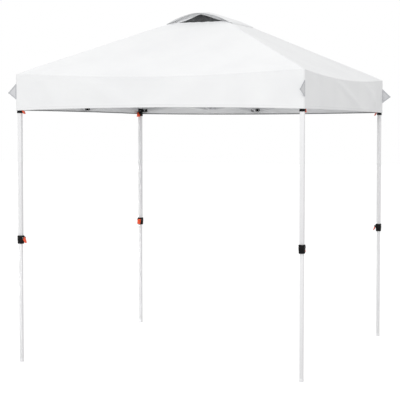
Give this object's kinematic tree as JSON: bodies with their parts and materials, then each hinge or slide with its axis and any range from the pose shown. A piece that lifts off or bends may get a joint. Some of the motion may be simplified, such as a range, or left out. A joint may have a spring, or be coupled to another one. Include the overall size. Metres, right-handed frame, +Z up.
{
  "type": "pop up canopy",
  "caption": "Square pop up canopy: a folding scissor frame on telescopic legs under a vented fabric top with a deep valance.",
  "frame": {"origin": "on the ground at the centre of the four feet", "axes": "+Z up, -Y towards the front valance, +X towards the right-hand legs as seen from the front"},
  "size_m": [2.5914, 2.5914, 2.909],
  "materials": {
    "fabric": "matte",
    "white_steel": "satin",
    "black_nylon": "satin",
    "orange_nylon": "satin"
  },
  "bodies": {
    "top": {"centre_hub_upper": "black_nylon", "peak_pole": "white_steel", "canopy_top": "fabric"},
    "inner_a_front": {"inner_bar_a_front": "white_steel"},
    "inner_b_front": {"inner_bar_b_front": "white_steel"},
    "hub_lower_front": {"side_hub_lower_front": "black_nylon"},
    "hub_upper_front": {"side_hub_upper_front": "black_nylon"},
    "centre_lower": {"centre_hub_lower": "white_steel"},
    "inner_a_right": {"inner_bar_a_right": "white_steel"},
    "inner_b_right": {"inner_bar_b_right": "white_steel"},
    "hub_lower_right": {"side_hub_lower_right": "black_nylon"},
    "hub_upper_right": {"side_hub_upper_right": "black_nylon"},
    "inner_a_back": {"inner_bar_a_back": "white_steel"},
    "inner_b_back": {"inner_bar_b_back": "white_steel"},
    "hub_lower_back": {"side_hub_lower_back": "black_nylon"},
    "hub_upper_back": {"side_hub_upper_back": "black_nylon"},
    "inner_a_left": {"inner_bar_a_left": "white_steel"},
    "inner_b_left": {"inner_bar_b_left": "white_steel"},
    "hub_lower_left": {"side_hub_lower_left": "black_nylon"},
    "hub_upper_left": {"side_hub_upper_left": "black_nylon"},
    "side_a_front_fl": {"side_bar_a_front_fl": "white_steel"},
    "side_b_front_fl": {"side_bar_b_front_fl": "white_steel"},
    "side_a_front_fr": {"side_bar_a_front_fr": "white_steel"},
    "side_b_front_fr": {"side_bar_b_front_fr": "white_steel"},
    "leg_fr": {"leg_upper_fr": "white_steel", "height_clamp_fr": "black_nylon"},
    "slider_fr": {"slider_fr": "black_nylon"},
    "foot_fr": {"leg_lower_fr": "white_steel"},
    "lever_fr": {"clamp_lever_fr": "orange_nylon"},
    "latch_fr": {"slider_latch_fr": "orange_nylon"},
    "side_a_right_fr": {"side_bar_a_right_fr": "white_steel"},
    "side_b_right_fr": {"side_bar_b_right_fr": "white_steel"},
    "side_a_right_br": {"side_bar_a_right_br": "white_steel"},
    "side_b_right_br": {"side_bar_b_right_br": "white_steel"},
    "leg_br": {"leg_upper_br": "white_steel", "height_clamp_br": "black_nylon"},
    "slider_br": {"slider_br": "black_nylon"},
    "foot_br": {"leg_lower_br": "white_steel"},
    "lever_br": {"clamp_lever_br": "orange_nylon"},
    "latch_br": {"slider_latch_br": "orange_nylon"},
    "side_a_back_br": {"side_bar_a_back_br": "white_steel"},
    "side_b_back_br": {"side_bar_b_back_br": "white_steel"},
    "side_a_back_bl": {"side_bar_a_back_bl": "white_steel"},
    "side_b_back_bl": {"side_bar_b_back_bl": "white_steel"},
    "leg_bl": {"leg_upper_bl": "white_steel", "height_clamp_bl": "black_nylon"},
    "slider_bl": {"slider_bl": "black_nylon"},
    "foot_bl": {"leg_lower_bl": "white_steel"},
    "lever_bl": {"clamp_lever_bl": "orange_nylon"},
    "latch_bl": {"slider_latch_bl": "orange_nylon"},
    "side_a_left_bl": {"side_bar_a_left_bl": "white_steel"},
    "side_b_left_bl": {"side_bar_b_left_bl": "white_steel"},
    "side_a_left_fl": {"side_bar_a_left_fl": "white_steel"},
    "side_b_left_fl": {"side_bar_b_left_fl": "white_steel"},
    "leg_fl": {"leg_upper_fl": "white_steel", "height_clamp_fl": "black_nylon"},
    "slider_fl": {"slider_fl": "black_nylon"},
    "foot_fl": {"leg_lower_fl": "white_steel"},
    "lever_fl": {"clamp_lever_fl": "orange_nylon"},
    "latch_fl": {"slider_latch_fl": "orange_nylon"}
  },
  "joints": [
    {"name": "frame_fold", "type": "hinge", "parent": "top", "child": "inner_a_front", "pos_m": [0, -0.045, 2.285], "axis": [1, 0, 0], "range_deg": [0, 76]},
    {"name": "inner_b_front_cross", "type": "hinge", "parent": "inner_a_front", "child": "inner_b_front", "pos_m": [0, -0.605, 2.184], "axis": [1, 0, 0], "range_deg": [-152.5, 0.5]},
    {"name": "hub_lower_front_turn", "type": "hinge", "parent": "inner_a_front", "child": "hub_lower_front", "pos_m": [0, -1.165, 2.083], "axis": [1, 0, 0], "range_deg": [-76.5, 0.5]},
    {"name": "hub_upper_front_turn", "type": "hinge", "parent": "inner_b_front", "child": "hub_upper_front", "pos_m": [0, -1.165, 2.285], "axis": [1, 0, 0], "range_deg": [-0.5, 76.5]},
    {"name": "centre_hub_lower_turn", "type": "hinge", "parent": "inner_b_front", "child": "centre_lower", "pos_m": [0, -0.045, 2.083], "axis": [1, 0, 0], "range_deg": [-0.5, 76.5]},
    {"name": "inner_a_right_turn", "type": "hinge", "parent": "top", "child": "inner_a_right", "pos_m": [0.045, 0, 2.285], "axis": [0, 1, 0], "range_deg": [-0.5, 76.5]},
    {"name": "inner_b_right_cross", "type": "hinge", "parent": "inner_a_right", "child": "inner_b_right", "pos_m": [0.605, 0, 2.184], "axis": [0, 1, 0], "range_deg": [-152.5, 0.5]},
    {"name": "hub_lower_right_turn", "type": "hinge", "parent": "inner_a_right", "child": "hub_lower_right", "pos_m": [1.165, 0, 2.083], "axis": [0, 1, 0], "range_deg": [-76.5, 0.5]},
    {"name": "hub_upper_right_turn", "type": "hinge", "parent": "inner_b_right", "child": "hub_upper_right", "pos_m": [1.165, 0, 2.285], "axis": [0, 1, 0], "range_deg": [-0.5, 76.5]},
    {"name": "inner_a_back_turn", "type": "hinge", "parent": "top", "child": "inner_a_back", "pos_m": [0, 0.045, 2.285], "axis": [-1, 0, 0], "range_deg": [-0.5, 76.5]},
    {"name": "inner_b_back_cross", "type": "hinge", "parent": "inner_a_back", "child": "inner_b_back", "pos_m": [0, 0.605, 2.184], "axis": [-1, 0, 0], "range_deg": [-152.5, 0.5]},
    {"name": "hub_lower_back_turn", "type": "hinge", "parent": "inner_a_back", "child": "hub_lower_back", "pos_m": [0, 1.165, 2.083], "axis": [-1, 0, 0], "range_deg": [-76.5, 0.5]},
    {"name": "hub_upper_back_turn", "type": "hinge", "parent": "inner_b_back", "child": "hub_upper_back", "pos_m": [0, 1.165, 2.285], "axis": [-1, 0, 0], "range_deg": [-0.5, 76.5]},
    {"name": "inner_a_left_turn", "type": "hinge", "parent": "top", "child": "inner_a_left", "pos_m": [-0.045, 0, 2.285], "axis": [0, -1, 0], "range_deg": [-0.5, 76.5]},
    {"name": "inner_b_left_cross", "type": "hinge", "parent": "inner_a_left", "child": "inner_b_left", "pos_m": [-0.605, 0, 2.184], "axis": [0, -1, 0], "range_deg": [-152.5, 0.5]},
    {"name": "hub_lower_left_turn", "type": "hinge", "parent": "inner_a_left", "child": "hub_lower_left", "pos_m": [-1.165, 0, 2.083], "axis": [0, -1, 0], "range_deg": [-76.5, 0.5]},
    {"name": "hub_upper_left_turn", "type": "hinge", "parent": "inner_b_left", "child": "hub_upper_left", "pos_m": [-1.165, 0, 2.285], "axis": [0, -1, 0], "range_deg": [-0.5, 76.5]},
    {"name": "side_a_front_fl_turn", "type": "hinge", "parent": "hub_lower_front", "child": "side_a_front_fl", "pos_m": [-0.03, -1.195, 2.083], "axis": [0, -1, 0], "range_deg": [-76.5, 0.5]},
    {"name": "side_b_front_fl_cross", "type": "hinge", "parent": "side_a_front_fl", "child": "side_b_front_fl", "pos_m": [-0.59, -1.195, 2.184], "axis": [0, -1, 0], "range_deg": [-0.5, 152.5]},
    {"name": "side_a_front_fr_turn", "type": "hinge", "parent": "hub_lower_front", "child": "side_a_front_fr", "pos_m": [0.03, -1.195, 2.083], "axis": [0, 1, 0], "range_deg": [-76.5, 0.5]},
    {"name": "side_b_front_fr_cross", "type": "hinge", "parent": "side_a_front_fr", "child": "side_b_front_fr", "pos_m": [0.59, -1.195, 2.184], "axis": [0, 1, 0], "range_deg": [-0.5, 152.5]},
    {"name": "leg_fr_turn", "type": "hinge", "parent": "side_a_front_fr", "child": "leg_fr", "pos_m": [1.15, -1.195, 2.285], "axis": [0, 1, 0], "range_deg": [-0.5, 76.5]},
    {"name": "slider_fr_turn", "type": "hinge", "parent": "side_b_front_fr", "child": "slider_fr", "pos_m": [1.15, -1.195, 2.083], "axis": [0, 1, 0], "range_deg": [-76.5, 0.5]},
    {"name": "leg_fr_extend", "type": "slide", "parent": "leg_fr", "child": "foot_fr", "axis": [0, 0, 1], "range_m": [-0.097, 0.9]},
    {"name": "clamp_lever_fr_pull", "type": "hinge", "parent": "leg_fr", "child": "lever_fr", "pos_m": [1.195, -1.1665, 1.018], "axis": [1, 0, 0], "range_deg": [0, 25], "stiffness_Nm_per_rad": 0.05, "springref_deg": -2.86},
    {"name": "slider_latch_fr_pull", "type": "hinge", "parent": "slider_fr", "child": "latch_fr", "pos_m": [1.2065, -1.1685, 2.064], "axis": [1, 0, 0], "range_deg": [0, 22], "stiffness_Nm_per_rad": 0.03, "springref_deg": -2.86},
    {"name": "side_a_right_fr_turn", "type": "hinge", "parent": "hub_lower_right", "child": "side_a_right_fr", "pos_m": [1.195, -0.03, 2.083], "axis": [1, 0, 0], "range_deg": [-76.5, 0.5]},
    {"name": "side_b_right_fr_cross", "type": "hinge", "parent": "side_a_right_fr", "child": "side_b_right_fr", "pos_m": [1.195, -0.59, 2.184], "axis": [1, 0, 0], "range_deg": [-0.5, 152.5]},
    {"name": "side_a_right_br_turn", "type": "hinge", "parent": "hub_lower_right", "child": "side_a_right_br", "pos_m": [1.195, 0.03, 2.083], "axis": [-1, 0, 0], "range_deg": [-76.5, 0.5]},
    {"name": "side_b_right_br_cross", "type": "hinge", "parent": "side_a_right_br", "child": "side_b_right_br", "pos_m": [1.195, 0.59, 2.184], "axis": [-1, 0, 0], "range_deg": [-0.5, 152.5]},
    {"name": "leg_br_turn", "type": "hinge", "parent": "side_a_right_br", "child": "leg_br", "pos_m": [1.195, 1.15, 2.285], "axis": [-1, 0, 0], "range_deg": [-0.5, 76.5]},
    {"name": "slider_br_turn", "type": "hinge", "parent": "side_b_right_br", "child": "slider_br", "pos_m": [1.195, 1.15, 2.083], "axis": [-1, 0, 0], "range_deg": [-76.5, 0.5]},
    {"name": "leg_br_extend", "type": "slide", "parent": "leg_br", "child": "foot_br", "axis": [0, 0, 1], "range_m": [-0.097, 0.9]},
    {"name": "clamp_lever_br_pull", "type": "hinge", "parent": "leg_br", "child": "lever_br", "pos_m": [1.1665, 1.195, 1.018], "axis": [0, 1, 0], "range_deg": [0, 25], "stiffness_Nm_per_rad": 0.05, "springref_deg": -2.86},
    {"name": "slider_latch_br_pull", "type": "hinge", "parent": "slider_br", "child": "latch_br", "pos_m": [1.1685, 1.2065, 2.064], "axis": [0, 1, 0], "range_deg": [0, 22], "stiffness_Nm_per_rad": 0.03, "springref_deg": -2.86},
    {"name": "side_a_back_br_turn", "type": "hinge", "parent": "hub_lower_back", "child": "side_a_back_br", "pos_m": [0.03, 1.195, 2.083], "axis": [0, 1, 0], "range_deg": [-76.5, 0.5]},
    {"name": "side_b_back_br_cross", "type": "hinge", "parent": "side_a_back_br", "child": "side_b_back_br", "pos_m": [0.59, 1.195, 2.184], "axis": [0, 1, 0], "range_deg": [-0.5, 152.5]},
    {"name": "side_a_back_bl_turn", "type": "hinge", "parent": "hub_lower_back", "child": "side_a_back_bl", "pos_m": [-0.03, 1.195, 2.083], "axis": [0, -1, 0], "range_deg": [-76.5, 0.5]},
    {"name": "side_b_back_bl_cross", "type": "hinge", "parent": "side_a_back_bl", "child": "side_b_back_bl", "pos_m": [-0.59, 1.195, 2.184], "axis": [0, -1, 0], "range_deg": [-0.5, 152.5]},
    {"name": "leg_bl_turn", "type": "hinge", "parent": "side_a_back_bl", "child": "leg_bl", "pos_m": [-1.15, 1.195, 2.285], "axis": [0, -1, 0], "range_deg": [-0.5, 76.5]},
    {"name": "slider_bl_turn", "type": "hinge", "parent": "side_b_back_bl", "child": "slider_bl", "pos_m": [-1.15, 1.195, 2.083], "axis": [0, -1, 0], "range_deg": [-76.5, 0.5]},
    {"name": "leg_bl_extend", "type": "slide", "parent": "leg_bl", "child": "foot_bl", "axis": [0, 0, 1], "range_m": [-0.097, 0.9]},
    {"name": "clamp_lever_bl_pull", "type": "hinge", "parent": "leg_bl", "child": "lever_bl", "pos_m": [-1.195, 1.1665, 1.018], "axis": [-1, 0, 0], "range_deg": [0, 25], "stiffness_Nm_per_rad": 0.05, "springref_deg": -2.86},
    {"name": "slider_latch_bl_pull", "type": "hinge", "parent": "slider_bl", "child": "latch_bl", "pos_m": [-1.2065, 1.1685, 2.064], "axis": [-1, 0, 0], "range_deg": [0, 22], "stiffness_Nm_per_rad": 0.03, "springref_deg": -2.86},
    {"name": "side_a_left_bl_turn", "type": "hinge", "parent": "hub_lower_left", "child": "side_a_left_bl", "pos_m": [-1.195, 0.03, 2.083], "axis": [-1, 0, 0], "range_deg": [-76.5, 0.5]},
    {"name": "side_b_left_bl_cross", "type": "hinge", "parent": "side_a_left_bl", "child": "side_b_left_bl", "pos_m": [-1.195, 0.59, 2.184], "axis": [-1, 0, 0], "range_deg": [-0.5, 152.5]},
    {"name": "side_a_left_fl_turn", "type": "hinge", "parent": "hub_lower_left", "child": "side_a_left_fl", "pos_m": [-1.195, -0.03, 2.083], "axis": [1, 0, 0], "range_deg": [-76.5, 0.5]},
    {"name": "side_b_left_fl_cross", "type": "hinge", "parent": "side_a_left_fl", "child": "side_b_left_fl", "pos_m": [-1.195, -0.59, 2.184], "axis": [1, 0, 0], "range_deg": [-0.5, 152.5]},
    {"name": "leg_fl_turn", "type": "hinge", "parent": "side_a_left_fl", "child": "leg_fl", "pos_m": [-1.195, -1.15, 2.285], "axis": [1, 0, 0], "range_deg": [-0.5, 76.5]},
    {"name": "slider_fl_turn", "type": "hinge", "parent": "side_b_left_fl", "child": "slider_fl", "pos_m": [-1.195, -1.15, 2.083], "axis": [1, 0, 0], "range_deg": [-76.5, 0.5]},
    {"name": "leg_fl_extend", "type": "slide", "parent": "leg_fl", "child": "foot_fl", "axis": [0, 0, 1], "range_m": [-0.097, 0.9]},
    {"name": "clamp_lever_fl_pull", "type": "hinge", "parent": "leg_fl", "child": "lever_fl", "pos_m": [-1.1665, -1.195, 1.018], "axis": [0, -1, 0], "range_deg": [0, 25], "stiffness_Nm_per_rad": 0.05, "springref_deg": -2.86},
    {"name": "slider_latch_fl_pull", "type": "hinge", "parent": "slider_fl", "child": "latch_fl", "pos_m": [-1.1685, -1.2065, 2.064], "axis": [0, -1, 0], "range_deg": [0, 22], "stiffness_Nm_per_rad": 0.03, "springref_deg": -2.86}
  ],
  "couplings": [
    {"joint": "inner_b_front_cross", "follows": "frame_fold", "ratio": -2},
    {"joint": "hub_lower_front_turn", "follows": "frame_fold", "ratio": -1},
    {"joint": "hub_upper_front_turn", "follows": "frame_fold", "ratio": 1},
    {"joint": "centre_hub_lower_turn", "follows": "frame_fold", "ratio": 1},
    {"joint": "inner_a_right_turn", "follows": "frame_fold", "ratio": 1},
    {"joint": "inner_b_right_cross", "follows": "frame_fold", "ratio": -2},
    {"joint": "hub_lower_right_turn", "follows": "frame_fold", "ratio": -1},
    {"joint": "hub_upper_right_turn", "follows": "frame_fold", "ratio": 1},
    {"joint": "inner_a_back_turn", "follows": "frame_fold", "ratio": 1},
    {"joint": "inner_b_back_cross", "follows": "frame_fold", "ratio": -2},
    {"joint": "hub_lower_back_turn", "follows": "frame_fold", "ratio": -1},
    {"joint": "hub_upper_back_turn", "follows": "frame_fold", "ratio": 1},
    {"joint": "inner_a_left_turn", "follows": "frame_fold", "ratio": 1},
    {"joint": "inner_b_left_cross", "follows": "frame_fold", "ratio": -2},
    {"joint": "hub_lower_left_turn", "follows": "frame_fold", "ratio": -1},
    {"joint": "hub_upper_left_turn", "follows": "frame_fold", "ratio": 1},
    {"joint": "side_a_front_fl_turn", "follows": "frame_fold", "ratio": -1},
    {"joint": "side_b_front_fl_cross", "follows": "frame_fold", "ratio": 2},
    {"joint": "side_a_front_fr_turn", "follows": "frame_fold", "ratio": -1},
    {"joint": "side_b_front_fr_cross", "follows": "frame_fold", "ratio": 2},
    {"joint": "leg_fr_turn", "follows": "frame_fold", "ratio": 1},
    {"joint": "slider_fr_turn", "follows": "frame_fold", "ratio": -1},
    {"joint": "side_a_right_fr_turn", "follows": "frame_fold", "ratio": -1},
    {"joint": "side_b_right_fr_cross", "follows": "frame_fold", "ratio": 2},
    {"joint": "side_a_right_br_turn", "follows": "frame_fold", "ratio": -1},
    {"joint": "side_b_right_br_cross", "follows": "frame_fold", "ratio": 2},
    {"joint": "leg_br_turn", "follows": "frame_fold", "ratio": 1},
    {"joint": "slider_br_turn", "follows": "frame_fold", "ratio": -1},
    {"joint": "side_a_back_br_turn", "follows": "frame_fold", "ratio": -1},
    {"joint": "side_b_back_br_cross", "follows": "frame_fold", "ratio": 2},
    {"joint": "side_a_back_bl_turn", "follows": "frame_fold", "ratio": -1},
    {"joint": "side_b_back_bl_cross", "follows": "frame_fold", "ratio": 2},
    {"joint": "leg_bl_turn", "follows": "frame_fold", "ratio": 1},
    {"joint": "slider_bl_turn", "follows": "frame_fold", "ratio": -1},
    {"joint": "side_a_left_bl_turn", "follows": "frame_fold", "ratio": -1},
    {"joint": "side_b_left_bl_cross", "follows": "frame_fold", "ratio": 2},
    {"joint": "side_a_left_fl_turn", "follows": "frame_fold", "ratio": -1},
    {"joint": "side_b_left_fl_cross", "follows": "frame_fold", "ratio": 2},
    {"joint": "leg_fl_turn", "follows": "frame_fold", "ratio": 1},
    {"joint": "slider_fl_turn", "follows": "frame_fold", "ratio": -1}
  ]
}
